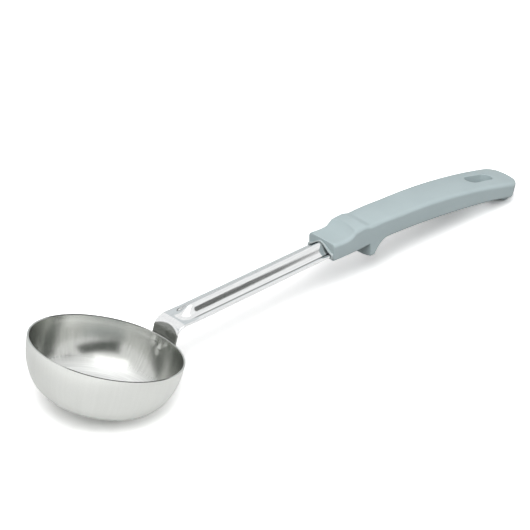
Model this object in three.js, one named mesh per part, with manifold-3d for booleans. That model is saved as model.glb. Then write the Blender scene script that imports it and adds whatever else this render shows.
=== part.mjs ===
// A portion spoon: a deep-drawn steel bowl, a stamped steel shank whose tongue is welded to the
// bowl's wall, and a moulded grip on the shank's tang. It lies on a table the way it is put down,
// on the bowl's floor and on the foot under the grip's tail. X runs from the bowl to the tail,
// Z is up, Y = 0 is the plane of symmetry.
import * as THREE from 'three';
import { mergeVertices } from 'three/addons/utils/BufferGeometryUtils.js';
import Module from 'manifold-3d';

const wasm = await Module();
wasm.setup();

// Driving dimensions in millimetres, angles in degrees
const fitGap = 0.3;
const leastFlat = 0.3;

const bowlRadius = 40.6;
const bowlDepth = 31;
const bowlSheet = 1;
const bowlTilt = 16.9;
const bowlWallPower = 4;
const rimRound = 0.3;
const weldRadius = 2.7;
const weldDepth = 0.3;
const weldDrop = 3.4;
const weldPitch = 8.6;
const weldStep = 3.9;

const shankSheet = 1.5;
const tongueWidth = 17.4;
const tongueDrop = 16;
const tongueCorner = 5;
const tongueBlunt = 0.4;
const tongueRise = 3.2;
const kneeRadius = 7;
const armLength = 105;
const armPitch = 2.2;
const armWidth = 16.6;
const beadWidth = 12.4;
const beadHeight = 4.4;
const beadRun = 24;
const beadLap = 1.35;
const tangLength = 52;

const gripLength = 148;
const gripFrontWidth = 19.4;
const gripTailWidth = 23.8;
const gripFlarePower = 1.5;
const gripCover = 1.2;
const gripCrown = 0.4;
const gripFrontDepth = 8.9;
const gripDepth = 10.9;
const gripTailDepth = 11.8;
const gripLevelLength = 23;
const gripTopRound = 2.2;
const gripUnderRound = 1.6;
const gripFrontRound = 0.8;
const gripTailRound = 2;
const gripTailCorner = 8.5;
const bowPower = 1.6;
const bowLift = 5.3;
const footLength = 2.6;
const footRun = 12;
const footRound = 4;
const footEdge = 0.6;
const ridgeHeight = 2.6;
const ridgeOffset = 19;
const ridgeRun = 13;
const scoopRadius = 33;
const scoopOffset = 6.2;
const scoopDepth = 0.4;
const hookOffset = 28;
const hookDraft = 0.4;
const hookDrop = 8.9;
const hookBow = 1.2;
const hookTip = 3.4;
const hookRun = 14.2;
const hookRound = 1.2;
const slotLength = 21.3;
const slotWidth = 7.6;
const slotInset = 14.3;

const bowlSides = 64;
const wallSteps = 14;
const tiltSteps = 200;
const ballSides = 96;
const radians = Math.PI / 180;

function smooth(share) {
  const clipped = Math.min(Math.max(share, 0), 1);
  return clipped * clipped * (3 - 2 * clipped);
}

// How far a quarter-round edge of this radius draws in, at a distance from where it starts
function roundInset(radius, distance) {
  const reach = Math.min(Math.max(distance, 0), radius);
  return radius - Math.sqrt(radius * radius - reach * reach);
}

// A closed body from rings of points that run over the top from -Y to +Y and back underneath
function loft(rings) {
  const size = rings[0].length;
  const positions = rings.flat().flatMap((point) => point.toArray());
  const triangles = [];
  for (let ring = 0; ring < rings.length - 1; ring += 1) {
    for (let side = 0; side < size; side += 1) {
      const a = ring * size + side;
      const b = ring * size + ((side + 1) % size);
      triangles.push(a, a + size, b, b, a + size, b + size);
    }
  }
  const last = (rings.length - 1) * size;
  for (let side = 0; side < size / 2 - 1; side += 1) {
    const under = size - 1 - side;
    triangles.push(side, side + 1, under, under, side + 1, under - 1);
    triangles.push(last + side, last + under, last + side + 1);
    triangles.push(last + under, last + under - 1, last + side + 1);
  }
  const geometry = new THREE.BufferGeometry();
  geometry.setAttribute('position', new THREE.Float32BufferAttribute(positions, 3));
  geometry.setIndex(triangles);
  return geometry;
}

function toSolid(geometry) {
  const bare = geometry.clone();
  bare.deleteAttribute('normal');
  bare.deleteAttribute('uv');
  const merged = mergeVertices(bare, 1e-4);
  const vertProperties = new Float32Array(merged.attributes.position.array);
  const triVerts = new Uint32Array(merged.index.array);
  return new wasm.Manifold(new wasm.Mesh({ numProp: 3, vertProperties, triVerts }));
}

function toGeometry(solid) {
  const mesh = solid.getMesh();
  const geometry = new THREE.BufferGeometry();
  geometry.setAttribute('position', new THREE.Float32BufferAttribute(mesh.vertProperties, 3));
  geometry.setIndex(Array.from(mesh.triVerts));
  geometry.computeVertexNormals();
  return geometry;
}

// Bowl: the outer wall is a rounded cup, upright at the rim and nearly flat at the floor.
// A share of 0 is the rim and 1 the floor, and the offset is measured square to the sheet.
function wallPoint(share, offset) {
  const angle = (Math.PI / 2) * (1 - (1 - share) ** 2);
  const across = Math.max(Math.cos(angle), 0);
  const radius = bowlRadius * across ** (2 / bowlWallPower);
  const depth = bowlDepth * Math.sin(angle);
  const radiusSlope = (-2 / bowlWallPower) * bowlRadius * Math.sin(angle);
  const depthSlope = bowlDepth * across ** (2 - 2 / bowlWallPower);
  const length = Math.hypot(radiusSlope, depthSlope);
  return { radius: radius + (offset * depthSlope) / length, depth: depth - (offset * radiusSlope) / length };
}

// The share of the wall's curve that lies a depth below the rim
function shareAtDepth(depth) {
  return 1 - Math.sqrt(1 - Math.asin(Math.min(depth / bowlDepth, 1)) / (Math.PI / 2));
}

// A shallow round dent in the inner face, where a spot weld holds the tongue behind it
function weldMark(side, drop) {
  const inner = wallPoint(shareAtDepth(drop), -bowlSheet);
  const ballRadius = (weldRadius ** 2 + weldDepth ** 2) / (2 * weldDepth);
  const ball = new THREE.SphereGeometry(ballRadius, ballSides, ballSides / 2);
  const reach = inner.radius - ballRadius + weldDepth;
  return toSolid(ball.translate(reach, 0, -inner.depth).rotateZ(side / inner.radius));
}

function bowlGeometry() {
  const outline = [];
  for (let step = wallSteps; step > 0; step -= 1) {
    const point = wallPoint(step / wallSteps, 0);
    outline.push(new THREE.Vector2(step === wallSteps ? 0 : point.radius, -point.depth));
  }
  outline.push(new THREE.Vector2(bowlRadius, -rimRound));
  outline.push(new THREE.Vector2(bowlRadius - rimRound, 0));
  outline.push(new THREE.Vector2(bowlRadius - bowlSheet + rimRound, 0));
  outline.push(new THREE.Vector2(bowlRadius - bowlSheet, -rimRound));
  for (let step = 1; step <= wallSteps; step += 1) {
    const point = wallPoint(step / wallSteps, -bowlSheet);
    outline.push(new THREE.Vector2(step === wallSteps ? 0 : point.radius, -point.depth));
  }
  const cup = new THREE.LatheGeometry(outline, bowlSides).rotateX(Math.PI / 2);
  const corner = weldPitch / 2;
  const marks = [weldMark(corner, weldDrop), weldMark(-corner, weldDrop), weldMark(0, weldDrop + weldStep)];
  return toGeometry(marks.reduce((solid, mark) => solid.subtract(mark), toSolid(cup)));
}

// The bowl stands tilted on the table, so its lowest point sets the height of its rim
const tilt = bowlTilt * radians;
let rimHeight = 0;
for (let step = 0; step <= tiltSteps; step += 1) {
  const point = wallPoint(step / tiltSteps, 0);
  rimHeight = Math.max(rimHeight, point.radius * Math.sin(tilt) + point.depth * Math.cos(tilt));
}
const rimCentre = new THREE.Vector3(0, 0, rimHeight);
const bowlOut = new THREE.Vector3(Math.cos(tilt), 0, -Math.sin(tilt));
const bowlUp = new THREE.Vector3(Math.sin(tilt), 0, Math.cos(tilt));

function bowlPlace(out, side, up) {
  const place = rimCentre.clone().addScaledVector(bowlOut, out).addScaledVector(bowlUp, up);
  place.y = side;
  return place;
}

// Shank: one strip of sheet. Its tongue hugs the bowl's wall, the knee turns it outwards,
// and a rounded bead stiffens the arm and the tang.
const wallGap = bowlRadius + fitGap;
const armAngle = -armPitch * radians;
const kneeTurn = Math.PI / 2 - tilt - armAngle;
const kneeCentre = bowlPlace(wallGap + kneeRadius, 0, tongueRise);

function kneeNormal(turn) {
  const heading = Math.PI / 2 - tilt - turn;
  return new THREE.Vector3(-Math.sin(heading), 0, Math.cos(heading));
}

const armNormal = kneeNormal(kneeTurn);
const armAlong = new THREE.Vector3(Math.cos(armAngle), 0, Math.sin(armAngle));
const armStart = kneeCentre.clone().addScaledVector(armNormal, kneeRadius);
const armEnd = armStart.clone().addScaledVector(armAlong, armLength);
const beadSteps = 12;

function beadShape(side, halfWidth) {
  if (Math.abs(side) >= halfWidth) {
    return 0;
  }
  return (1 + Math.cos((Math.PI * side) / halfWidth)) / 2;
}

// Sideways places across the strip: its two edges, and a row of places over the bead
function stripPlaces(halfWidth) {
  const beadHalf = Math.min(beadWidth / 2 + fitGap, halfWidth - leastFlat);
  const places = [-halfWidth];
  for (let step = 0; step <= beadSteps; step += 1) {
    places.push(beadHalf * ((2 * step) / beadSteps - 1));
  }
  places.push(halfWidth);
  return places;
}

// One ring of the strip from a place that gives the point at a sideways distance on either face
function stripRing(halfWidth, topPoint, underPoint) {
  const places = stripPlaces(halfWidth);
  const top = places.map((side) => topPoint(side));
  const under = places.map((side) => underPoint(side)).reverse();
  return [...top, ...under];
}

function tongueHalf(distanceFromTip) {
  return tongueWidth / 2 - roundInset(tongueCorner, tongueCorner - distanceFromTip);
}

function tongueRings() {
  const rings = [];
  const tipSteps = 5;
  const wallRings = 5;
  const distances = [];
  for (let step = 0; step < tipSteps; step += 1) {
    distances.push(tongueBlunt + (tongueCorner - tongueBlunt) * (step / tipSteps) ** 2);
  }
  for (let step = 0; step <= wallRings; step += 1) {
    distances.push(tongueCorner + (tongueDrop - tongueCorner) * (step / wallRings));
  }
  for (const distance of distances) {
    const share = shareAtDepth(tongueDrop - distance);
    const near = wallPoint(share, fitGap);
    const far = wallPoint(share, fitGap + shankSheet);
    rings.push(stripRing(
      tongueHalf(distance),
      (side) => bowlPlace(Math.sqrt(near.radius ** 2 - side * side), side, -near.depth),
      (side) => bowlPlace(Math.sqrt(far.radius ** 2 - side * side), side, -far.depth),
    ));
  }
  return rings;
}

function kneeRings() {
  const rings = [];
  const kneeSteps = 8;
  for (let step = 0; step <= kneeSteps; step += 1) {
    const share = step / kneeSteps;
    const normal = kneeNormal(kneeTurn * share);
    const curl = 1 - smooth(share);
    const facePoint = (side, offset, radius) => {
      const sag = (radius - Math.sqrt(radius * radius - side * side)) * curl;
      const point = kneeCentre.clone().addScaledVector(normal, kneeRadius - offset + sag);
      point.y = side;
      return point;
    };
    rings.push(stripRing(
      tongueWidth / 2,
      (side) => facePoint(side, 0, wallGap),
      (side) => facePoint(side, shankSheet, wallGap + shankSheet),
    ));
  }
  return rings;
}

// A ring of the beaded strip some way along the arm, grown on every side by a clearance
function beadRing(along, growth) {
  const rise = smooth(along / beadRun);
  const widthShare = smooth(along / armLength);
  const halfWidth = (tongueWidth + (armWidth - tongueWidth) * widthShare) / 2 + growth;
  const topHalf = beadWidth / 2 + growth;
  const underHalf = beadWidth / 2 - beadLap - growth;
  const facePoint = (side, offset) => {
    const point = armStart.clone().addScaledVector(armAlong, along).addScaledVector(armNormal, offset);
    point.y = side;
    return point;
  };
  return stripRing(
    halfWidth,
    (side) => facePoint(side, rise * beadHeight * beadShape(side, topHalf) + growth),
    (side) => facePoint(side, rise * beadHeight * beadShape(side, underHalf) - shankSheet - growth),
  );
}

function armRings() {
  const rings = [];
  const runSteps = 9;
  for (let step = 1; step <= runSteps; step += 1) {
    rings.push(beadRing((beadRun * step) / runSteps, 0));
  }
  const taperSteps = 6;
  for (let step = 1; step <= taperSteps; step += 1) {
    rings.push(beadRing(beadRun + ((armLength - beadRun) * step) / taperSteps, 0));
  }
  rings.push(beadRing(armLength + tangLength, 0));
  return rings;
}

function shankGeometry() {
  return loft([...tongueRings(), ...kneeRings(), ...armRings()]);
}

// Grip: lofted along X from its front face. Its back is level over the bead, then arches down
// to the tail, whose foot stands on the table. The finger stop hangs from its underside.
const gripFront = armEnd.x;
const gripEnd = gripFront + gripLength;
const gripTop = armEnd.z + beadHeight + gripCover;
const archStart = gripFront + gripLevelLength;
const archRadius = (gripEnd - archStart) ** 2 / (2 * (gripTop - gripTailDepth));
const underLevel = gripTop - gripDepth;
const footStart = gripEnd - footEdge - footLength;
const hookFront = gripFront + hookOffset;

function backHeight(x) {
  const drop = Math.max(x - archStart, 0) ** 2 / (2 * archRadius);
  const fromRidge = Math.abs(x - gripFront - ridgeOffset) / ridgeRun;
  const ridge = fromRidge < 1 ? ridgeHeight * Math.cos((Math.PI / 2) * fromRidge) ** 2 : 0;
  return gripTop - drop + ridge;
}

function underHeight(x) {
  if (x <= archStart) {
    const left = (archStart - x) / gripLevelLength;
    return underLevel + (gripDepth - gripFrontDepth) * left * left;
  }
  const bow = underLevel - (underLevel - bowLift) * ((x - archStart) / (footStart - archStart)) ** bowPower;
  const curl = Math.min(Math.max((x - footStart + footRun) / footRun, 0), 1);
  return bow * (1 - curl * curl);
}

// The finger stop's share of its full drop: upright in front, hollow behind
function hookShare(x) {
  const along = x - hookFront;
  if (along < 0 || along > hookRun) {
    return 0;
  }
  const behind = Math.max(along - hookTip, 0) / (hookRun - hookTip);
  return (1 - behind) ** 2;
}

function gripHalfWidth(x) {
  const share = (x - gripFront) / gripLength;
  const flare = ((gripTailWidth - gripFrontWidth) / 2) * share ** gripFlarePower;
  return gripFrontWidth / 2 + flare - roundInset(gripTailCorner, x - gripEnd + gripTailCorner);
}

const roundSteps = 4;
const crownSteps = 6;

// One section of the grip. It leans with the arch, so that the tail's end is square to the back.
function gripRing(x) {
  const frontInset = roundInset(gripFrontRound, gripFront + gripFrontRound - x);
  const topInset = frontInset + roundInset(gripTailRound, x - gripEnd + gripTailRound);
  const underInset = frontInset + roundInset(footEdge, x - gripEnd + footEdge);
  const hook = hookShare(x);
  const hookInset = hook > 0 ? roundInset(hookRound, hookFront + hookRound - x) : 0;
  const half = gripHalfWidth(x) - frontInset;
  const top = backHeight(x) - topInset;
  const under = underHeight(x) + underInset + hookInset - hookDrop * hook;
  const footShare = smooth((x - footStart + footRun) / footRun);
  const underRound = Math.min(gripUnderRound + (footRound - gripUnderRound) * footShare, half - leastFlat);
  const lean = Math.max(x - archStart, 0) / archRadius;
  const place = (side, height) => new THREE.Vector3(x - lean * (backHeight(x) - height), side, height);

  const upper = [];
  for (let step = 0; step <= roundSteps; step += 1) {
    const angle = (Math.PI / 2) * (step / roundSteps);
    const side = gripTopRound * (1 - Math.cos(angle)) - half;
    upper.push(place(side, top - gripTopRound * (1 - Math.sin(angle))));
  }
  for (let step = 1; step < crownSteps; step += 1) {
    const share = (2 * step) / crownSteps - 1;
    upper.push(place(share * (half - gripTopRound), top + gripCrown * (1 - share * share)));
  }
  for (let step = roundSteps; step >= 0; step -= 1) {
    upper.push(upper[step].clone().setY(-upper[step].y));
  }

  const bow = hookBow * hook;
  const lower = [];
  for (let step = 0; step <= roundSteps; step += 1) {
    const angle = (Math.PI / 2) * (step / roundSteps);
    const side = half - underRound * (1 - Math.cos(angle));
    lower.push(place(side, under + bow + underRound * (1 - Math.sin(angle))));
  }
  for (let step = 1; step < crownSteps; step += 1) {
    const share = 1 - (2 * step) / crownSteps;
    lower.push(place(share * (half - underRound), under + bow * share * share));
  }
  for (let step = roundSteps; step >= 0; step -= 1) {
    lower.push(lower[step].clone().setY(-lower[step].y));
  }
  return [...upper, ...lower];
}

// Even steps from one place along X up to, but not with, the next
function stations(from, to, count) {
  return Array.from({ length: count }, (unused, step) => from + ((to - from) * step) / count);
}

function gripStations() {
  const quarter = stations(0, Math.PI / 2, 4);
  const tailStart = gripEnd - gripTailCorner;
  const hookEnd = hookFront + hookRun;
  return [
    ...quarter.map((angle) => gripFront + gripFrontRound * (1 - Math.cos(angle))),
    ...stations(gripFront + gripFrontRound, hookFront - hookDraft, 14),
    hookFront - hookDraft,
    ...quarter.map((angle) => hookFront + hookRound * (1 - Math.cos(angle))),
    hookFront + hookRound,
    ...stations(hookFront + hookTip, hookEnd, 8),
    ...stations(hookEnd, tailStart, 16),
    ...stations(0, Math.PI / 2, 12).map((angle) => tailStart + gripTailCorner * Math.sin(angle)),
    gripEnd,
  ];
}

// Thumb scoop: the part of a large ball that dips below the back, ahead of the ridge
function scoopGeometry() {
  const ball = new THREE.SphereGeometry(scoopRadius, ballSides, ballSides / 2);
  return ball.translate(gripFront + scoopOffset, 0, gripTop + gripCrown - scoopDepth + scoopRadius);
}

// Hang slot: a long hole with round ends, square to the back where it goes through
function slotGeometry() {
  const reach = slotLength / 2 - slotWidth / 2;
  const outline = new THREE.Shape();
  outline.absarc(reach, 0, slotWidth / 2, -Math.PI / 2, Math.PI / 2, false);
  outline.absarc(-reach, 0, slotWidth / 2, Math.PI / 2, (3 * Math.PI) / 2, false);
  outline.closePath();
  const depth = gripTop + gripDepth;
  const geometry = new THREE.ExtrudeGeometry(outline, { depth, bevelEnabled: false, curveSegments: 10 });
  const middle = gripEnd - slotInset - slotLength / 2;
  const slope = (middle - archStart) / archRadius;
  geometry.translate(0, 0, -depth / 2).rotateY(Math.atan(slope));
  return geometry.translate(middle, 0, (backHeight(middle) + underHeight(middle)) / 2);
}

// Pocket: the tang with the fit gap all round, open at the grip's front face
function pocketGeometry() {
  return loft([beadRing(armLength - gripDepth, fitGap), beadRing(armLength + tangLength + fitGap, fitGap)]);
}

function gripGeometry() {
  const body = toSolid(loft(gripStations().map((x) => gripRing(x))));
  const scooped = body.subtract(toSolid(scoopGeometry()));
  const slotted = scooped.subtract(toSolid(slotGeometry()));
  return toGeometry(slotted.subtract(toSolid(pocketGeometry())));
}

function addPiece(parent, name, geometry, material) {
  const mesh = new THREE.Mesh(geometry, material);
  mesh.name = name;
  parent.add(mesh);
  return mesh;
}

const bowlSteel = new THREE.MeshStandardMaterial({ color: 0xc9ccca, roughness: 0.35, metalness: 1 });
const shankSteel = new THREE.MeshStandardMaterial({ color: 0xd3d6d6, roughness: 0.2, metalness: 1 });
const gripPlastic = new THREE.MeshStandardMaterial({ color: 0xa9b9bf, roughness: 0.55, metalness: 0 });

const spoon = new THREE.Group();
const bowl = addPiece(spoon, 'bowl', bowlGeometry(), bowlSteel);
bowl.position.copy(rimCentre);
bowl.rotation.y = tilt;
addPiece(spoon, 'shank', shankGeometry(), shankSteel);
addPiece(spoon, 'grip', gripGeometry(), gripPlastic);

// The origin is under the middle of the spoon, on the table
const extent = new THREE.Box3().setFromObject(spoon, true);
spoon.position.set(-(extent.min.x + extent.max.x) / 2, 0, -extent.min.z);

export default spoon;
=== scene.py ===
# A portion spoon lying on a white table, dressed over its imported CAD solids.
from math import asin, cos, exp, hypot, pi, radians, sin, sqrt

import bmesh
import bpy
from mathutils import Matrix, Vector


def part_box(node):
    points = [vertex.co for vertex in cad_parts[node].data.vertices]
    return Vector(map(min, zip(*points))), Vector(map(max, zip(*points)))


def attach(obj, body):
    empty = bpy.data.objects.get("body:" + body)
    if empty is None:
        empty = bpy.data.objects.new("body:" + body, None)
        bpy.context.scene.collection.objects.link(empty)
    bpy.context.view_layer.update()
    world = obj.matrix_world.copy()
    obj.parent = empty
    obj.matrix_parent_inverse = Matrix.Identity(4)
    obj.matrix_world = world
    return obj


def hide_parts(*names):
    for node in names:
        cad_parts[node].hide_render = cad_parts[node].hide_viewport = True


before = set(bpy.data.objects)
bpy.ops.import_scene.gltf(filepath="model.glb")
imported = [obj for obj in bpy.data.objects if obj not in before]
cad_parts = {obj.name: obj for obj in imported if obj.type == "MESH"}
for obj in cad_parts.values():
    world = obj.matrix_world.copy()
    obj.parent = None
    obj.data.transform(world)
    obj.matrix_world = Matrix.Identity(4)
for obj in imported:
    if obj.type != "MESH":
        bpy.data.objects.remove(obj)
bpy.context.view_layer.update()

# The bowl
# A round cup deep-drawn from stainless sheet, its rim left as a bare edge. It is satin outside and
# buffed inside, and three spot welds to the shank's tongue have left dents in its inner wall.
MM = 0.001
BOWL_RADIUS = 40.6
BOWL_DEPTH = 31.0
BOWL_SHEET = 1.0
BOWL_TILT = radians(16.9)
WALL_POWER = 4
WALL_STEPS = 56
CURVE_STEPS = 200
RIM_ROUND = 0.25
RIM_STEPS = 6
WELDS = ((4.3, 3.4), (-4.3, 3.4), (0.0, 7.3))
WELD_RADIUS = 2.7
WELD_DENT = 0.3
WELD_REACH = 1.3
WELD_RING = 0.35
WELD_RING_WIDTH = 0.3
FIT_GAP = 0.3
SATIN, BUFFED, SHEARED = 0, 1, 2


def smooth(share):
    share = min(max(share, 0.0), 1.0)
    return share * share * (3 - 2 * share)


def wall_point(share, offset):
    """Radius and depth on the cup's wall, from the rim at 0 to the floor's middle at 1."""
    angle = pi / 2 * (1 - (1 - share) ** 2)
    across = max(cos(angle), 0.0)
    out = BOWL_RADIUS * across ** (2 / WALL_POWER)
    down = BOWL_DEPTH * sin(angle)
    out_slope = -2 / WALL_POWER * BOWL_RADIUS * sin(angle)
    down_slope = BOWL_DEPTH * across ** (2 - 2 / WALL_POWER)
    length = hypot(out_slope, down_slope)
    return out + offset * down_slope / length, down - offset * out_slope / length


cup_curve = [wall_point(step / CURVE_STEPS, 0) for step in range(CURVE_STEPS + 1)]
rim_height = max(out * sin(BOWL_TILT) + down * cos(BOWL_TILT) for out, down in cup_curve)
cup_reach = max(out * cos(BOWL_TILT) + down * sin(BOWL_TILT) for out, down in cup_curve)
rim_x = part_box("bowl")[0].x / MM + cup_reach


def in_bowl(out, side, up):
    """A point from the rim's middle: out towards the shank, sideways, and up the cup's axis."""
    return Vector((
        rim_x + out * cos(BOWL_TILT) + up * sin(BOWL_TILT),
        side,
        rim_height - out * sin(BOWL_TILT) + up * cos(BOWL_TILT),
    ))


def mesh_piece(name, points, faces):
    """A smooth-shaded piece from points in millimetres."""
    mesh = bpy.data.meshes.new(name)
    mesh.from_pydata([Vector(point) * MM for point in points], [], faces)
    mesh.validate()
    mesh.polygons.foreach_set("use_smooth", [True] * len(mesh.polygons))
    piece = bpy.data.objects.new(name, mesh)
    bpy.context.scene.collection.objects.link(piece)
    return piece


def weld_dent(out, side, down):
    """How far the inner wall is pressed outwards at the welds, less the low ring round each."""
    dent = 0.0
    for weld_side, weld_down in WELDS:
        apart = hypot(side - weld_side, down - weld_down) / WELD_RADIUS
        if out > 0 and apart < WELD_REACH:
            hollow = 1 - smooth(apart / WELD_REACH)
            ring = max(0, 1 - abs(apart - 1) / WELD_RING_WIDTH)
            dent += WELD_DENT * hollow - WELD_RING * WELD_DENT * ring
    return dent


def bowl_profile():
    """Radius and depth up the outside and over the rim, and then those down the inside."""
    quarter = [pi / 2 * step / RIM_STEPS for step in range(RIM_STEPS + 1)]
    inner_radius = BOWL_RADIUS - BOWL_SHEET
    outer = [wall_point(step / WALL_STEPS, 0) for step in range(WALL_STEPS - 1, 1, -1)]
    for turn in quarter:
        outer.append((BOWL_RADIUS - RIM_ROUND * (1 - cos(turn)), RIM_ROUND * (1 - sin(turn))))
    for turn in reversed(quarter):
        outer.append((inner_radius + RIM_ROUND * (1 - cos(turn)), RIM_ROUND * (1 - sin(turn))))
    inner = [wall_point(step / WALL_STEPS, -BOWL_SHEET) for step in range(2, WALL_STEPS)]
    return outer, inner


def build_bowl():
    sides = 288
    outer, inner = bowl_profile()
    profile = outer + inner
    points = []
    for index, (out, down) in enumerate(profile):
        for side in range(sides):
            turn = 2 * pi * side / sides
            radius = out
            if index >= len(outer):
                radius += weld_dent(cos(turn), out * sin(turn), down)
            points.append(in_bowl(radius * cos(turn), radius * sin(turn), -down))
    faces = []
    for ring in range(len(profile) - 1):
        for side in range(sides):
            a, b = ring * sides + side, ring * sides + (side + 1) % sides
            faces.append((a, b, b + sides, a + sides))
    under, floor_top = len(points), len(points) + 1
    points.append(in_bowl(0, 0, -BOWL_DEPTH))
    points.append(in_bowl(0, 0, BOWL_SHEET - BOWL_DEPTH))
    last = (len(profile) - 1) * sides
    faces += [(under, (side + 1) % sides, side) for side in range(sides)]
    faces += [(floor_top, last + side, last + (side + 1) % sides) for side in range(sides)]
    cup = mesh_piece("bowl_cup", points, faces)
    edge_start, edge_end = len(outer) - 2 * RIM_STEPS, len(outer) - 1
    finishes = []
    for ring in range(len(profile) - 1):
        finish = SATIN if ring < edge_start else SHEARED if ring < edge_end else BUFFED
        finishes += [finish] * sides
    finishes += [SATIN] * sides + [BUFFED] * sides
    cup.data.polygons.foreach_set("material_index", finishes)
    return cup


class Value:
    """One socket of a material, so that shader maths reads as sums."""

    def __init__(self, tree, socket):
        self.tree = tree
        self.socket = socket

    def node(self, kind, settings=None, **sockets):
        """A new node with its settings, then its sockets by name, or by number as in _0."""
        made = self.tree.nodes.new(kind)
        for name, setting in (settings or {}).items():
            if name == "stops":
                ramp = made.color_ramp.elements
                while len(ramp) < len(setting):
                    ramp.new(0.5)
                for stop, (place, colour) in zip(ramp, setting):
                    stop.position = place
                    stop.color = colour
            else:
                setattr(made, name, setting)
        for name, given in sockets.items():
            key = int(name[1:]) if name[0] == "_" else name.replace("_", " ")
            if isinstance(given, Value):
                self.tree.links.new(given.socket, made.inputs[key])
            else:
                made.inputs[key].default_value = given
        return made

    def out(self, made, name=0):
        return Value(self.tree, made.outputs[name])

    def maths(self, operation, *given):
        values = {f"_{place}": value for place, value in enumerate(given)}
        return self.out(self.node("ShaderNodeMath", {"operation": operation}, **values))

    def __add__(self, other):
        return self.maths("ADD", self, other)

    def __radd__(self, other):
        return self.maths("ADD", other, self)

    def __sub__(self, other):
        return self.maths("SUBTRACT", self, other)

    def __rsub__(self, other):
        return self.maths("SUBTRACT", other, self)

    def __mul__(self, other):
        return self.maths("MULTIPLY", self, other)

    def __rmul__(self, other):
        return self.maths("MULTIPLY", other, self)

    def between(self, low, high):
        """0 below low, 1 above high, and smooth from one to the other."""
        made = self.node("ShaderNodeMapRange", {"interpolation_type": "SMOOTHSTEP"},
                         _0=self, _1=low, _2=high, _3=0.0, _4=1.0)
        return self.out(made)


def new_finish(name):
    """A material with one Principled shader, and its object-space place as a Value."""
    finish = bpy.data.materials.new(name)
    finish.use_nodes = True
    tree = finish.node_tree
    shader = tree.nodes["Principled BSDF"]
    place = Value(tree, tree.nodes.new("ShaderNodeTexCoord").outputs["Object"])
    return finish, shader, place


def feed(value, shader, name):
    value.tree.links.new(value.socket, shader.inputs[name])


def bowl_place(place):
    """Angle round the cup, distance from its axis and height from its rim, in metres."""
    turned = place.node("ShaderNodeMapping", {"vector_type": "TEXTURE"}, Vector=place,
                        Location=in_bowl(0, 0, 0) * MM, Rotation=(0, BOWL_TILT, 0))
    split = place.node("ShaderNodeSeparateXYZ", Vector=place.out(turned))
    across, along, height = (place.out(split, axis) for axis in "XYZ")
    flat = place.out(place.node("ShaderNodeCombineXYZ", X=across, Y=along, Z=0.0))
    reach = place.out(place.node("ShaderNodeVectorMath", {"operation": "LENGTH"}, _0=flat), "Value")
    return place.maths("ARCTAN2", along, across), reach, height


def noise(place, spot, scale, detail=3.0):
    """Noise over three values, each stretched by its own scale."""
    x, y, z = (value * stretch for value, stretch in zip(spot, scale))
    stretched = place.out(place.node("ShaderNodeCombineXYZ", X=x, Y=y, Z=z))
    made = place.node("ShaderNodeTexNoise", Vector=stretched, Scale=1.0, Detail=detail)
    return place.out(made, "Fac")


def blend(place, share, first, second):
    """A colour between two, by a share from 0 to 1."""
    mixed = place.node("ShaderNodeMix", {"data_type": "RGBA"}, Factor=share)
    for slot, colour in ((6, first), (7, second)):
        if isinstance(colour, Value):
            place.tree.links.new(colour.socket, mixed.inputs[slot])
        else:
            mixed.inputs[slot].default_value = (*colour, 1)
    return place.out(mixed, 2)


RELIEF_DEPTH = 0.0001


def add_relief(place, shader, height, strength):
    relief = place.node("ShaderNodeBump", Height=height, Strength=strength, Distance=RELIEF_DEPTH)
    feed(place.out(relief), shader, "Normal")


MOTTLE = 0.3, 0.7
FINE_DETAIL = 2.0
DRAWING_STREAKS = 16.0, 18.0, 0.0
SATIN_GRAIN = 150.0, 900.0, 900.0
SATIN_TONES = (0.68, 0.693, 0.667), (0.715, 0.728, 0.702)


def satin_finish():
    """The cup's outside: pale and even, with faint upright drawing marks."""
    finish, shader, place = new_finish("bowl_steel_satin")
    shader.inputs["Metallic"].default_value = 1.0
    turn, reach, height = bowl_place(place)
    streaks = noise(place, (turn, height, reach), DRAWING_STREAKS)
    grain = noise(place, (turn, height, reach), SATIN_GRAIN, FINE_DETAIL)
    feed(0.30 + 0.08 * grain, shader, "Roughness")
    tone = blend(place, (0.5 * streaks + 0.5 * grain).between(*MOTTLE), *SATIN_TONES)
    feed(tone, shader, "Base Color")
    add_relief(place, shader, grain, 0.05)
    return finish


BRUSH_MARKS = 42.0, 60.0, 0.0
BUFFED_GRAIN = 260.0, 220.0, 220.0
SCOUR_ARCS = 1900.0, 1.6, 500.0
FLOOR_EDGE = -0.027, -0.018
# The rim band and its tone paint a highlight on the upper inner wall.
RIM_HIGHLIGHT_BAND = -0.015, -0.001
WALL_TONES = (0.57, 0.58, 0.555), (0.66, 0.67, 0.645)
RIM_HIGHLIGHT_TONE = (0.84, 0.85, 0.825)
FLOOR_TONES = (0.66, 0.67, 0.66), (0.79, 0.8, 0.79)


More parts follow.
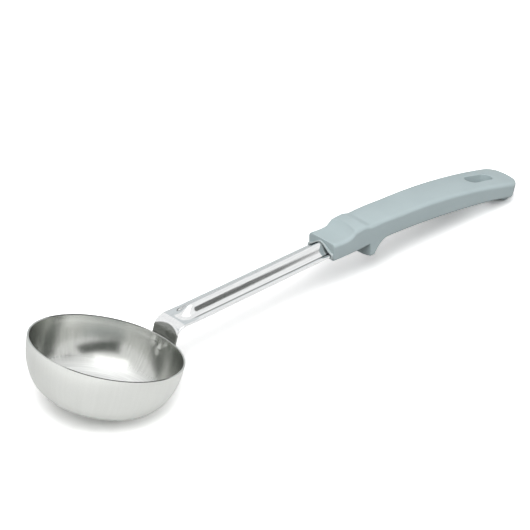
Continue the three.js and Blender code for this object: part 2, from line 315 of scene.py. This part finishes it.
def buffed_finish():
    """The cup's inside: brush marks up the wall, a painted highlight on the wall below the rim, and
    a scoured floor.
    """
    finish, shader, place = new_finish("bowl_steel_buffed")
    turn, reach, height = bowl_place(place)
    brush = noise(place, (turn, height, reach), BRUSH_MARKS)
    fine = noise(place, (turn, height, reach), BUFFED_GRAIN, FINE_DETAIL)
    arcs = noise(place, (reach, turn, height), SCOUR_ARCS)
    floor = 1 - height.between(*FLOOR_EDGE)
    wall = 1 - floor
    wall_rough = wall * (0.05 * brush + 0.05 * fine)
    floor_rough = floor * (0.24 + 0.14 * arcs)
    feed(0.16 + wall_rough + floor_rough, shader, "Roughness")
    feed(1 - 0.4 * floor, shader, "Metallic")
    wall_tone = blend(place, (0.6 * brush + 0.4 * fine).between(*MOTTLE), *WALL_TONES)
    # Painted highlight: the wall's tone is lightened towards the rim.
    wall_tone = blend(place, 0.5 * height.between(*RIM_HIGHLIGHT_BAND), wall_tone, RIM_HIGHLIGHT_TONE)
    floor_tone = blend(place, arcs.between(*MOTTLE), *FLOOR_TONES)
    feed(blend(place, floor, wall_tone, floor_tone), shader, "Base Color")
    marks = wall * (0.5 * brush + 0.3 * fine) + 0.6 * floor * arcs
    add_relief(place, shader, marks, 0.07)
    return finish


EDGE_NICKS = 120.0, 900.0, 900.0
# Painted reflections on the rim's edge: dark around these turns of the cup, bright between them.
DARK_REFLECTION_TURN = radians(58)
DARK_REFLECTION_RUNS = -0.1, 0.4
DARK_REFLECTION_TONES = (0.06, 0.065, 0.06), (0.14, 0.145, 0.138)
EDGE_HIGHLIGHT_TONES = (0.62, 0.63, 0.61), (0.76, 0.77, 0.75)


def edge_finish():
    """The rim's sheared edge, with painted dark reflections along two opposite runs and painted
    highlights between them.
    """
    finish, shader, place = new_finish("bowl_steel_edge")
    shader.inputs["Metallic"].default_value = 1.0
    turn, reach, height = bowl_place(place)
    nicks = noise(place, (turn, reach, height), EDGE_NICKS)
    feed(0.34 + 0.12 * nicks, shader, "Roughness")
    # Painted dark reflection and painted highlight, placed by turn round the cup.
    dark = blend(place, nicks.between(*MOTTLE), *DARK_REFLECTION_TONES)
    edge_highlight = blend(place, nicks.between(*MOTTLE), *EDGE_HIGHLIGHT_TONES)
    dark_reflection_runs = turn.maths("COSINE", 2 * turn - 2 * DARK_REFLECTION_TURN).between(*DARK_REFLECTION_RUNS)
    feed(blend(place, dark_reflection_runs, edge_highlight, dark), shader, "Base Color")
    return finish


bowl = build_bowl()
bowl.data.materials.append(satin_finish())
bowl.data.materials.append(buffed_finish())
bowl.data.materials.append(edge_finish())
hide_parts("bowl")
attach(bowl, "root")

# The shank
# One strip of heavier stainless sheet: a tongue curled to the bowl's wall, a knee, an arm stiffened
# by a pressed bead, and a tang in the grip. It is polished, with the tongue left brushed.
SHANK_SHEET = 1.5
SHANK_EDGE = 0.6
TONGUE_WIDTH = 17.4
TONGUE_DROP = 16.0
TONGUE_CORNER = 5.0
TONGUE_TIP = 0.15
TONGUE_RISE = 3.2
KNEE_RADIUS = 7.0
ARM_LENGTH = 105.0
ARM_PITCH = radians(2.2)
ARM_WIDTH = 16.6
BEAD_WIDTH = 12.4
BEAD_HEIGHT = 4.4
BEAD_RUN = 11.0
BEAD_LAP = 1.35
FLANGE_DROOP = 0.3
CREASE_DEPTH = 0.12
CREASE_WIDTH = 0.45
TANG_LENGTH = 52.0

WALL_GAP = BOWL_RADIUS + FIT_GAP
KNEE_TURN = pi / 2 - BOWL_TILT + ARM_PITCH
knee_centre = in_bowl(WALL_GAP + KNEE_RADIUS, 0, TONGUE_RISE)


def knee_normal(turn):
    heading = pi / 2 - BOWL_TILT - turn
    return Vector((-sin(heading), 0, cos(heading)))


arm_normal = knee_normal(KNEE_TURN)
arm_along = Vector((cos(ARM_PITCH), 0, -sin(ARM_PITCH)))
arm_start = knee_centre + arm_normal * KNEE_RADIUS
arm_end = arm_start + arm_along * ARM_LENGTH


def round_inset(radius, distance):
    """How far a rounded edge falls in, at a distance past the start of its rounding."""
    reach = min(max(distance, 0.0), radius)
    return radius - sqrt(radius * radius - reach * reach)


def bead_shape(side, half):
    return (1 + cos(pi * side / half)) / 2 if abs(side) < half else 0.0


def flange_drop(side, half):
    """How far the strip lies below flat: a crease beside the bead, then a drooping flange."""
    beyond = abs(side) - BEAD_WIDTH / 2
    crease = CREASE_DEPTH * exp(-(beyond / CREASE_WIDTH) ** 2)
    return crease + FLANGE_DROOP * max(beyond, 0.0) / (half - BEAD_WIDTH / 2)


def strip_ring(half, top, under):
    """One closed ring round the strip, with its sheet edges rounded over."""
    across, edge_steps = 96, 5
    flat = half - SHANK_EDGE
    upper = [(flat * (2 * step / across - 1), 0.0) for step in range(across + 1)]
    edge = []
    for step in range(1, edge_steps + 1):
        turn = pi / 2 * step / edge_steps
        edge.append((flat + SHANK_EDGE * sin(turn), SHANK_EDGE * (1 - cos(turn)) / SHANK_SHEET))
    rim = edge + [(side, 1 - down) for side, down in reversed(edge)]
    lower = [(-side, 1.0) for side, down in upper]
    other = [(-side, down) for side, down in reversed(rim)]
    ring = []
    for side, down in upper + rim + lower + other:
        ring.append(top(side).lerp(under(side), down))
    return ring


def at_side(point, side):
    return Vector((point.x, side, point.z))


def tongue_ring(distance):
    share = 1 - sqrt(1 - asin(min((TONGUE_DROP - distance) / BOWL_DEPTH, 1)) / (pi / 2))
    half = TONGUE_WIDTH / 2 - round_inset(TONGUE_CORNER, TONGUE_CORNER - distance)
    near = wall_point(share, FIT_GAP)
    far = wall_point(share, FIT_GAP + SHANK_SHEET)
    return strip_ring(
        half,
        lambda side: in_bowl(sqrt(near[0] ** 2 - side * side), side, -near[1]),
        lambda side: in_bowl(sqrt(far[0] ** 2 - side * side), side, -far[1]))


def knee_ring(share):
    normal = knee_normal(KNEE_TURN * share)
    curl = 1 - smooth(share)

    def face(side, offset, radius):
        sag = (radius - sqrt(radius * radius - side * side)) * curl
        return at_side(knee_centre + normal * (KNEE_RADIUS - offset + sag), side)

    return strip_ring(
        TONGUE_WIDTH / 2,
        lambda side: face(side, 0, WALL_GAP),
        lambda side: face(side, SHANK_SHEET, WALL_GAP + SHANK_SHEET))


def bead_ring(along, growth=0.0):
    """A ring of the arm or the tang, or with growth one of the pocket round it."""
    pressed = smooth(along / BEAD_RUN)
    rise = BEAD_HEIGHT * pressed
    half = (TONGUE_WIDTH + (ARM_WIDTH - TONGUE_WIDTH) * smooth(along / ARM_LENGTH)) / 2 + growth
    over = BEAD_WIDTH / 2 + growth
    below = BEAD_WIDTH / 2 - BEAD_LAP - growth
    base = arm_start + arm_along * along

    def face(side, width, lift):
        height = rise * bead_shape(side, width) - pressed * flange_drop(side, half) + lift
        return at_side(base + arm_normal * height, side)

    return strip_ring(
        half,
        lambda side: face(side, over, growth),
        lambda side: face(side, below, -SHANK_SHEET - growth))


def loft_piece(name, rings):
    """A closed piece through a row of rings, with a flat cap at each end."""
    size = len(rings[0])
    points = [point for ring in rings for point in ring]
    faces = []
    for ring in range(len(rings) - 1):
        for side in range(size):
            a, b = ring * size + side, ring * size + (side + 1) % size
            faces.append((a, a + size, b + size, b))
    faces.append(tuple(range(size)))
    last = (len(rings) - 1) * size
    faces.append(tuple(last + size - 1 - side for side in range(size)))
    return mesh_piece(name, points, faces)


def build_shank():
    corner_steps, drop_steps, knee_steps, rise_steps, arm_steps = 10, 12, 24, 40, 12
    rings = []
    for step in range(corner_steps):
        corner = (TONGUE_CORNER - TONGUE_TIP) * (step / corner_steps) ** 2
        rings.append(tongue_ring(TONGUE_TIP + corner))
    for step in range(drop_steps + 1):
        drop = (TONGUE_DROP - TONGUE_CORNER) * step / drop_steps
        rings.append(tongue_ring(TONGUE_CORNER + drop))
    rings += [knee_ring(step / knee_steps) for step in range(knee_steps + 1)]
    rings += [bead_ring(BEAD_RUN * step / rise_steps) for step in range(1, rise_steps + 1)]
    for step in range(1, arm_steps + 1):
        rings.append(bead_ring(BEAD_RUN + (ARM_LENGTH - BEAD_RUN) * step / arm_steps))
    rings.append(bead_ring(ARM_LENGTH + TANG_LENGTH))
    return loft_piece("shank_strip", rings)


DRAWN_MARKS = 60.0, 1500.0, 1500.0
TONGUE_SCUFF = 500.0, 2600.0, 2600.0
ARM_RIPPLE = 45.0, 130.0, 130.0
RIPPLE_DETAIL = 1.0
RIPPLE_SHARE = 5.0
BRUSH_TURN = radians(14)
BRUSH_BOW = radians(24)
BRUSH_EDGE = radians(34), radians(40)
BRUSH_LIMIT = -0.084, -0.083
# The crease line, middle, start and tone paint shade along the bead's foot.
CREASE_SHADE_LINE = 0.0001, 0.0005
CREASE_SHADE_MIDDLE = 0.0, 0.001
CREASE_SHADE_START = 4
OUTER_FACE = -0.2, 0.2
POLISH_TONES = (0.80, 0.81, 0.815), (0.87, 0.88, 0.88)
CREASE_SHADE_TONE = (0.16, 0.17, 0.16)
# The tongue's inner tones are painted shade; its outer tones are its brushed colour.
TONGUE_INNER_SHADE = (0.19, 0.197, 0.184), (0.32, 0.33, 0.312)
TONGUE_OUTER = (0.46, 0.465, 0.45), (0.56, 0.565, 0.55)


def shank_finish():
    """Polished along the arm, with painted shade in the creases beside the bead, fainter on the far
    side, and brushed up to the knee, the tongue's bowl-facing side painted darker as shade.
    """
    finish, shader, place = new_finish("shank_steel_polish")
    shader.inputs["Metallic"].default_value = 1.0
    split = place.node("ShaderNodeSeparateXYZ", Vector=place)
    along, across, height = (place.out(split, axis) for axis in "XYZ")
    drawn = noise(place, (along, across, height), DRAWN_MARKS)
    scuff = noise(place, (across, height, along), TONGUE_SCUFF)
    ripple = noise(place, (along, across, height), ARM_RIPPLE, RIPPLE_DETAIL)
    knee_turn = place.maths("ARCTAN2", height - knee_centre.z * MM, knee_centre.x * MM - along)
    edgeward = across * (2 / TONGUE_WIDTH / MM)
    bowed = BRUSH_TURN - BRUSH_BOW * edgeward * edgeward
    tongue = 1 - (knee_turn - bowed).between(*BRUSH_EDGE)
    tongue = tongue * (1 - along.between(*BRUSH_LIMIT))
    feed(0.08 + 0.05 * drawn + tongue * (0.17 + 0.16 * scuff), shader, "Roughness")
    # Painted shade: a dark line along each crease beside the bead, past the knee, fainter on the
    # far side.
    beside = across.maths("ABSOLUTE", across) - BEAD_WIDTH / 2 * MM
    crease = 1 - beside.maths("ABSOLUTE", beside).between(*CREASE_SHADE_LINE)
    fainter = 1 - 0.7 * across.between(*CREASE_SHADE_MIDDLE)
    past_knee = along.between((arm_start.x + CREASE_SHADE_START) * MM, (arm_start.x + BEAD_RUN) * MM)
    crease = crease * fainter * past_knee
    bright = blend(place, drawn.between(*MOTTLE), *POLISH_TONES)
    bright = blend(place, 0.9 * crease, bright, CREASE_SHADE_TONE)
    # Painted shade: the tongue's side facing the bowl gets a much darker tone than its outer side.
    geometry = place.node("ShaderNodeNewGeometry")
    facing = place.node("ShaderNodeSeparateXYZ", Vector=place.out(geometry, "Normal"))
    outward = place.out(facing, "X").between(*OUTER_FACE)
    inner = blend(place, scuff.between(*MOTTLE), *TONGUE_INNER_SHADE)
    outer = blend(place, scuff.between(*MOTTLE), *TONGUE_OUTER)
    brushed_and_shaded = blend(place, outward, inner, outer)
    feed(blend(place, tongue, bright, brushed_and_shaded), shader, "Base Color")
    marks = (drawn + RIPPLE_SHARE * ripple) * (1 - tongue) + scuff * tongue
    add_relief(place, shader, marks, 0.05)
    return finish


shank = build_shank()
shank.data.materials.append(shank_finish())
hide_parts("shank")
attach(shank, "root")

# The grip
# A solid plastic moulding round the tang, blue-grey and matte. Its back is level at the front, with
# a thumb scoop and a ridge, then arches down to the tail. A finger stop hangs below.
GRIP_LENGTH = 148.0
GRIP_FRONT_WIDTH = 19.4
GRIP_TAIL_WIDTH = 23.8
GRIP_FLARE = 1.5
GRIP_COVER = 1.2
GRIP_CROWN = 0.4
GRIP_FRONT_DEPTH = 9.7
GRIP_DEPTH = 10.9
GRIP_TAIL_DEPTH = 11.8
GRIP_LEVEL = 23.0
TOP_ROUND = 2.2
UNDER_ROUND = 1.6
UNDER_FLAT = 0.3
FRONT_ROUND = 0.8
TAIL_ROUND = 2.0
TAIL_CORNER = 8.5
BOW_POWER = 1.6
BOW_LIFT = 5.3
TAIL_SAG = 1.5
TAIL_SAG_RUN = 27.0
FOOT_LENGTH = 2.6
FOOT_RUN = 10.0
FOOT_HALF = 5.4
FOOT_REACH = 6.6
FOOT_EDGE = 0.6
FOOT_CURL = 1.4
RIDGE_HEIGHT = 2.4
RIDGE_BACK = 23.6
RIDGE_STEP = 6.0
RIDGE_TRAIL = 0.82
TRAIL_BACK = 34.0
TRAIL_RUN = 23.0
THUMB_LOW = 10.3
THUMB_DIP = 0.35
THUMB_FRONT = 1.3
THUMB_FALL = 1.3
THUMB_RISE = 0.0228
THUMB_CLIMB = 2.37
THUMB_CURL = 0.0049
THUMB_SOFT = 0.06
HOOK_OFFSET = 28.0
HOOK_DRAFT = 0.4
HOOK_DROP = 8.9
HOOK_BOW = 1.2
HOOK_TIP = 3.4
HOOK_RUN = 14.2
HOOK_ROUND = 1.2
SLOT_LENGTH = 20.0
SLOT_WIDTH = 8.2
SLOT_INSET = 14.3
SLOT_ROUND = 0.5
SLOT_PLUG = 20.0
TANG_GAP = 0.06
TANG_PLUG = 12.0
LIP_LENGTH = 1.1
LIP_ROOT = 1.0
LIP_WALL = 0.6
LIP_DEPTH = 5.0
LIP_HALF = 8.6
LIP_UNDER = 0.45
LIP_GAP = 0.2
SLIVER = 0.002
CRISP_ANGLE = radians(42)

grip_front = arm_end.x
grip_end = grip_front + GRIP_LENGTH
grip_top = arm_end.z + BEAD_HEIGHT + GRIP_COVER
arch_start = grip_front + GRIP_LEVEL
arch_radius = (grip_end - arch_start) ** 2 / (2 * (grip_top - GRIP_TAIL_DEPTH))
under_level = grip_top - GRIP_DEPTH
foot_start = grip_end - FOOT_EDGE - FOOT_LENGTH
hook_front = grip_front + HOOK_OFFSET


def back_height(x):
    drop = max(x - arch_start, 0.0) ** 2 / (2 * arch_radius)
    along = x - grip_front
    ridge = (RIDGE_HEIGHT - RIDGE_TRAIL) * (1 - smooth((along - RIDGE_BACK) / RIDGE_STEP))
    trail = RIDGE_TRAIL * (1 - smooth((along - TRAIL_BACK) / TRAIL_RUN))
    return grip_top - drop + ridge + trail


def under_height(x):
    if x <= arch_start:
        left = (arch_start - x) / GRIP_LEVEL
        return under_level + (GRIP_DEPTH - GRIP_FRONT_DEPTH) * left * left
    share = (x - arch_start) / (foot_start - arch_start)
    bow = under_level - (under_level - BOW_LIFT) * share ** BOW_POWER
    sag = max(x - foot_start + TAIL_SAG_RUN, 0.0) / TAIL_SAG_RUN
    return bow - TAIL_SAG * sag * sag


def foot_drop(x):
    """How far the foot under the tail reaches below the moulding's lower edge."""
    curl = min(max((x - foot_start + FOOT_RUN) / FOOT_RUN, 0.0), 1.0)
    return under_height(x) * curl ** FOOT_CURL


def foot_share(side):
    return 1 - smooth((abs(side) - FOOT_HALF) / (FOOT_REACH - FOOT_HALF))


def hook_share(x):
    """How much of the finger stop's full drop there is, from its front face to its back."""
    along = x - hook_front
    if along < 0 or along > HOOK_RUN:
        return 0.0
    behind = max(along - HOOK_TIP, 0.0) / (HOOK_RUN - HOOK_TIP)
    return (1 - behind) ** 2


def grip_half(x):
    share = (x - grip_front) / GRIP_LENGTH
    flare = (GRIP_TAIL_WIDTH - GRIP_FRONT_WIDTH) / 2 * max(share, 0.0) ** GRIP_FLARE
    return GRIP_FRONT_WIDTH / 2 + flare - round_inset(TAIL_CORNER, x - grip_end + TAIL_CORNER)


def scooped(x, side, height):
    """The height left by the thumb rest, which dips behind the front and climbs to a round lip."""
    along = x - grip_front - THUMB_LOW
    if along < 0:
        rest = THUMB_FRONT * (-along / THUMB_LOW) ** THUMB_FALL
    else:
        rest = THUMB_RISE * along ** THUMB_CLIMB * (1 + THUMB_CURL * side * side)
    rest += grip_top - THUMB_DIP
    mean = (height + rest) / 2
    return mean - sqrt(((height - rest) / 2) ** 2 + THUMB_SOFT ** 2 / 4) + THUMB_SOFT ** 2 / 4


def grip_ring(x):
    """One closed ring round the moulding, leaning with the arch, from its near top edge round."""
    front_inset = round_inset(FRONT_ROUND, grip_front + FRONT_ROUND - x)
    top_inset = front_inset + round_inset(TAIL_ROUND, x - grip_end + TAIL_ROUND)
    under_inset = front_inset + round_inset(FOOT_EDGE, x - grip_end + FOOT_EDGE)
    hook = hook_share(x)
    hook_inset = round_inset(HOOK_ROUND, hook_front + HOOK_ROUND - x) if hook > 0 else 0.0
    half = grip_half(x) - front_inset
    top = scooped(x, half, back_height(x)) - top_inset
    foot = foot_drop(x)
    under = under_height(x) + under_inset + hook_inset - HOOK_DROP * hook - foot * foot_share(half)
    under_round = min(UNDER_ROUND, half - UNDER_FLAT)
    lean = max(x - arch_start, 0.0) / arch_radius
    bow = HOOK_BOW * hook
    ring = []

    def put(side, height):
        ring.append(Vector((x - lean * (back_height(x) - height), side, height)))

    round_steps, crown_steps, side_steps = 8, 64, 10
    for step in range(round_steps + 1):
        turn = pi / 2 * step / round_steps
        put(TOP_ROUND * (1 - cos(turn)) - half, top - TOP_ROUND * (1 - sin(turn)))
    for step in range(1, crown_steps):
        share = 2 * step / crown_steps - 1
        put(share * (half - TOP_ROUND), top + GRIP_CROWN * (1 - share * share))
    for step in range(round_steps, -1, -1):
        turn = pi / 2 * step / round_steps
        put(half - TOP_ROUND * (1 - cos(turn)), top - TOP_ROUND * (1 - sin(turn)))
    low, high = under + bow + under_round, top - TOP_ROUND
    for step in range(1, side_steps):
        put(half, high + (low - high) * step / side_steps)
    for step in range(round_steps + 1):
        turn = pi / 2 * step / round_steps
        put(half - under_round * (1 - cos(turn)), under + bow + under_round * (1 - sin(turn)))
    for step in range(1, crown_steps):
        share = 1 - 2 * step / crown_steps
        side = share * (half - under_round)
        put(side, under + bow * share * share - foot * (foot_share(side) - foot_share(half)))
    for step in range(round_steps, -1, -1):
        turn = pi / 2 * step / round_steps
        put(under_round * (1 - cos(turn)) - half, under + bow + under_round * (1 - sin(turn)))
    for step in range(side_steps - 1, 0, -1):
        put(-half, high + (low - high) * step / side_steps)
    for point in ring[:2 * round_steps + crown_steps + 1]:
        point.z = scooped(point.x, point.y, point.z)
    return ring


def spread(start, end, count):
    return [start + (end - start) * step / count for step in range(count)]


def grip_stations():
    """Where the rings stand along the grip, closest at its rounded edges and the thumb rest."""
    quarter = spread(0, pi / 2, 6)
    tail_start = grip_end - TAIL_CORNER
    hook_end = hook_front + HOOK_RUN
    stations = [grip_front + FRONT_ROUND * (1 - cos(turn)) for turn in quarter]
    stations += spread(grip_front + FRONT_ROUND, hook_front - HOOK_DRAFT, 96)
    stations.append(hook_front - HOOK_DRAFT)
    stations += [hook_front + HOOK_ROUND * (1 - cos(turn)) for turn in quarter]
    stations += spread(hook_front + HOOK_ROUND, hook_front + HOOK_TIP, 3)
    stations += spread(hook_front + HOOK_TIP, hook_end, 20)
    stations += spread(hook_end, tail_start, 80)
    stations += [tail_start + TAIL_CORNER * sin(turn) for turn in spread(0, pi / 2, 24)]
    stations.append(grip_end)
    return stations


def combine(piece, other, operation):
    """Cuts one closed body out of another, or joins it on, for good, and removes it."""
    change = piece.modifiers.new("change", "BOOLEAN")
    change.operation = operation
    change.solver = "EXACT"
    change.object = other
    bpy.context.view_layer.update()
    changed = piece.evaluated_get(bpy.context.evaluated_depsgraph_get())
    result = bpy.data.meshes.new_from_object(changed)
    piece.modifiers.clear()
    piece.data = result
    bpy.data.objects.remove(other)


def slot_cutter():
    """A long round-ended plug, square to the back, flared where it leaves the moulding."""
    round_steps, around = 6, 48
    middle = grip_end - SLOT_INSET - SLOT_LENGTH / 2
    slope = (middle - arch_start) / arch_radius
    length = hypot(1, slope)
    along = Vector((1 / length, 0, -slope / length))
    up = Vector((slope / length, 0, 1 / length))
    top = Vector((middle, 0, back_height(middle) + GRIP_CROWN))
    thick = (back_height(middle) - under_height(middle)) / length
    reach = (SLOT_LENGTH - SLOT_WIDTH) / 2
    levels = [(SLOT_PLUG, SLOT_ROUND)]
    for step in range(round_steps + 1):
        turn = pi / 2 * step / round_steps
        levels.append((-SLOT_ROUND * (1 - cos(turn)), SLOT_ROUND * (1 - sin(turn))))
    levels.append((-thick - SLOT_PLUG, 0.0))
    rings = []
    for height, growth in levels:
        ring = []
        for step in range(around):
            turn = 2 * pi * (step + 0.5) / around
            radius = SLOT_WIDTH / 2 + growth
            shift = reach if cos(turn) > 0 else -reach
            place = top + along * (shift + radius * cos(turn)) + up * height
            ring.append(at_side(place, radius * sin(turn)))
        rings.append(ring)
    return loft_piece("slot_plug", rings)


def lip_ring(beyond, growth):
    """An arch round the strip, wider than the bead, at a distance beyond the moulding's front."""
    base = arm_start + arm_along * (ARM_LENGTH + beyond)
    half = LIP_HALF + growth

    def face(side, height):
        return at_side(base + arm_normal * height, side)

    return strip_ring(
        half,
        lambda side: face(side, BEAD_HEIGHT * bead_shape(side, half) + LIP_GAP + growth),
        lambda side: face(side, -SHANK_SHEET - LIP_UNDER - growth))


def build_grip():
    piece = loft_piece("grip_moulding", [grip_ring(x) for x in grip_stations()])
    lip = [lip_ring(-LIP_LENGTH, LIP_WALL), lip_ring(LIP_ROOT, LIP_WALL)]
    lip_plug = [lip_ring(-2 * LIP_LENGTH, 0.0), lip_ring(LIP_DEPTH, 0.0)]
    tang_plug = [bead_ring(ARM_LENGTH - TANG_PLUG, TANG_GAP),
                 bead_ring(ARM_LENGTH + TANG_LENGTH + TANG_GAP, TANG_GAP)]
    combine(piece, slot_cutter(), "DIFFERENCE")
    combine(piece, loft_piece("lip", lip), "UNION")
    combine(piece, loft_piece("lip_plug", lip_plug), "DIFFERENCE")
    combine(piece, loft_piece("tang_plug", tang_plug), "DIFFERENCE")
    clean = bmesh.new()
    clean.from_mesh(piece.data)
    bmesh.ops.dissolve_degenerate(clean, dist=SLIVER * MM, edges=clean.edges)
    clean.to_mesh(piece.data)
    clean.free()
    piece.data.polygons.foreach_set("use_smooth", [True] * len(piece.data.polygons))
    piece.data.set_sharp_from_angle(angle=CRISP_ANGLE)
    return piece


GRIP_GRAIN = 1500.0
GRIP_CLOUD = 55.0
GRIP_TONES = (0.3, (0.43, 0.515, 0.53, 1)), (0.7, (0.465, 0.55, 0.565, 1))
# The lip's tone and fade paint a highlight on the lip ahead of the front face.
LIP_HIGHLIGHT_TONE = (0.54, 0.6, 0.605)
LIP_HIGHLIGHT_FADE = 0.3, 0.05


def grip_finish():
    """Matte blue-grey moulding, faintly clouded, with a painted highlight on the lip at its front.
    """
    finish, shader, place = new_finish("grip_plastic_matte")
    grain = place.node("ShaderNodeTexNoise", Vector=place, Scale=GRIP_GRAIN, Detail=4.0)
    cloud = place.node("ShaderNodeTexNoise", Vector=place, Scale=GRIP_CLOUD, Detail=3.0)
    grain, cloud = place.out(grain, "Fac"), place.out(cloud, "Fac")
    tone = place.node("ShaderNodeValToRGB", {"stops": GRIP_TONES}, Fac=0.7 * cloud + 0.3 * grain)
    along = place.out(place.node("ShaderNodeSeparateXYZ", Vector=place), "X")
    # Painted highlight: the lip standing ahead of the front face is paler, as if catching light.
    lip = 1 - along.between(*((grip_front - ahead) * MM for ahead in LIP_HIGHLIGHT_FADE))
    feed(blend(place, lip, place.out(tone), LIP_HIGHLIGHT_TONE), shader, "Base Color")
    feed(0.46 + 0.12 * grain, shader, "Roughness")
    add_relief(place, shader, grain, 0.1)
    return finish


grip = build_grip()
grip.data.materials.clear()
grip.data.materials.append(grip_finish())
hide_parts("grip")
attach(grip, "root")

# The table and the room
# A white table top without an edge in view, in a white room. Three soft lamps light the spoon, and
# curved screens far off give its polished metal darker and paler things to mirror.
TABLE_HALF = 3.0
TABLE_WHITE = 0.22
MIRRORED_WHITE = 0.85
SEEN_WHITE = 1.55
FAR_GLOW = 0.6
GLOW_RUN = 0.2, 0.6
ROOM_DIM = 0.02
ROOM_RISE = 0.5


def seen_rays(place):
    """Two values, 1 for what the camera sees directly and 1 for what it sees mirrored."""
    ray = place.node("ShaderNodeLightPath")
    mirrored = place.out(ray, "Is Glossy Ray") + place.out(ray, "Is Transmission Ray")
    return place.out(ray, "Is Camera Ray"), mirrored


def build_table():
    near, far = -TABLE_HALF, TABLE_HALF
    corners = [(near, near, 0), (far, near, 0), (far, far, 0), (near, far, 0)]
    mesh = bpy.data.meshes.new("table_top")
    mesh.from_pydata(corners, [], [(0, 1, 2, 3)])
    table = bpy.data.objects.new("table_top", mesh)
    bpy.context.scene.collection.objects.link(table)
    finish, shader, place = new_finish("table_white")
    seen, mirrored = seen_rays(place)
    white = TABLE_WHITE + (SEEN_WHITE - TABLE_WHITE) * seen
    feed(white + (MIRRORED_WHITE - TABLE_WHITE) * mirrored, shader, "Base Color")
    shader.inputs["Roughness"].default_value = 0.9
    shader.inputs["Specular IOR Level"].default_value = 0.1
    shader.inputs["Emission Strength"].default_value = 1.0
    away = place.out(place.node("ShaderNodeVectorMath", {"operation": "LENGTH"}, _0=place), "Value")
    glow = FAR_GLOW * away.between(*GLOW_RUN)
    feed((seen + mirrored) * glow, shader, "Emission Color")
    mesh.materials.append(finish)
    return table


build_table()

scene = bpy.context.scene
scene.view_settings.view_transform = "Standard"
room = bpy.data.worlds.new("white_room")
scene.world = room
room.use_nodes = True
room_tree = room.node_tree
lamp_light = room_tree.nodes["Background"]
lamp_light.inputs["Strength"].default_value = 1.0
seen_white = room_tree.nodes.new("ShaderNodeBackground")
seen_white.inputs["Color"].default_value = (1, 1, 1, 1)
seen_white.inputs["Strength"].default_value = 1.0
heading = Value(room_tree, room_tree.nodes.new("ShaderNodeTexCoord").outputs["Generated"])
upward = heading.out(heading.node("ShaderNodeSeparateXYZ", Vector=heading), "Z")
room_level = ROOM_DIM + ROOM_RISE * upward.maths("MAXIMUM", upward, 0.0)
feed(room_level, lamp_light, "Color")
mixed = heading.node("ShaderNodeMixShader")
seen, mirrored = seen_rays(heading)
room_tree.links.new((seen + mirrored).socket, mixed.inputs[0])
room_tree.links.new(lamp_light.outputs[0], mixed.inputs[1])
room_tree.links.new(seen_white.outputs[0], mixed.inputs[2])
room_tree.links.new(mixed.outputs[0], room_tree.nodes["World Output"].inputs[0])


def area_lamp(name, place, target, size, watts):
    light = bpy.data.lights.new(name, "AREA")
    light.shape = "SQUARE"
    light.size = size
    light.energy = watts
    lamp = bpy.data.objects.new(name, light)
    lamp.location = place
    lamp.rotation_euler = (Vector(target) - Vector(place)).to_track_quat("-Z", "Y").to_euler()
    scene.collection.objects.link(lamp)
    return lamp


area_lamp("overhead_softbox", (-0.25, -0.18, 1.3), (0, 0, 0), size=1.25, watts=5.0)
front_softbox = area_lamp("front_softbox", (-0.70, -0.52, 1.1), (-0.05, 0, 0),
                          size=0.75, watts=10.3)
front_softbox.visible_glossy = False
side_fill = area_lamp("side_fill", (0.8, -1.2, 0.6), (0.1, 0, 0), size=0.8, watts=7.3)
side_fill.visible_glossy = False


def studio_flag(name, radius, turns, heights, colour):
    """A curved screen far from the spoon, which only the polished metal mirrors."""
    steps = 24
    start, end = turns
    points = []
    for step in range(steps + 1):
        turn = radians(start + (end - start) * step / steps)
        points += [(radius * cos(turn), radius * sin(turn), height) for height in heights]
    faces = [(2 * step, 2 * step + 2, 2 * step + 3, 2 * step + 1) for step in range(steps)]
    mesh = bpy.data.meshes.new(name)
    mesh.from_pydata(points, [], faces)
    flag = bpy.data.objects.new(name, mesh)
    scene.collection.objects.link(flag)
    finish, shader, place = new_finish(name)
    shader.inputs["Base Color"].default_value = (0, 0, 0, 1)
    shader.inputs["Specular IOR Level"].default_value = 0.0
    shader.inputs["Emission Color"].default_value = (*colour, 1)
    shader.inputs["Emission Strength"].default_value = 1.0
    mesh.materials.append(finish)
    flag.visible_camera = False
    flag.visible_diffuse = False
    flag.visible_shadow = False


studio_flag("dark_studio_right", 1.6, turns=(-64, -41.5), heights=(0.9, 1.24),
            colour=(0.14, 0.145, 0.14))
studio_flag("dark_studio_front", 1.6, turns=(-156, -84), heights=(0.66, 1.42),
            colour=(0.12, 0.13, 0.12))
studio_flag("pale_screen", 1.7, turns=(-5, 115), heights=(0.3, 1.42),
            colour=(0.70, 0.735, 0.75))
studio_flag("dark_skirting", 1.7, turns=(-5, 115), heights=(0.0, 0.3),
            colour=(0.22, 0.23, 0.23))

# The camera
# A long lens, from above and to the left of the bowl, as in the photograph.
CAMERA_AZIMUTH = radians(-43.84)
CAMERA_ELEVATION = radians(32.62)
CAMERA_PLACE = Vector((rim_x - 806.37, -954.64, 882.10))
SENSOR_WIDTH = 36.0
FOCAL_PIXELS = 3000
FRAME_PIXELS = 530
FARTHEST_SEEN = 20.0

camera = bpy.data.cameras.new("camera")
camera.lens = SENSOR_WIDTH * FOCAL_PIXELS / FRAME_PIXELS
camera.sensor_width = SENSOR_WIDTH
camera.clip_end = FARTHEST_SEEN
viewer = bpy.data.objects.new("camera", camera)
viewer.location = CAMERA_PLACE * MM
gaze = Vector((
    -sin(CAMERA_AZIMUTH) * cos(CAMERA_ELEVATION),
    cos(CAMERA_AZIMUTH) * cos(CAMERA_ELEVATION),
    -sin(CAMERA_ELEVATION),
))
viewer.rotation_euler = gaze.to_track_quat("-Z", "Y").to_euler()
scene.collection.objects.link(viewer)
scene.camera = viewer
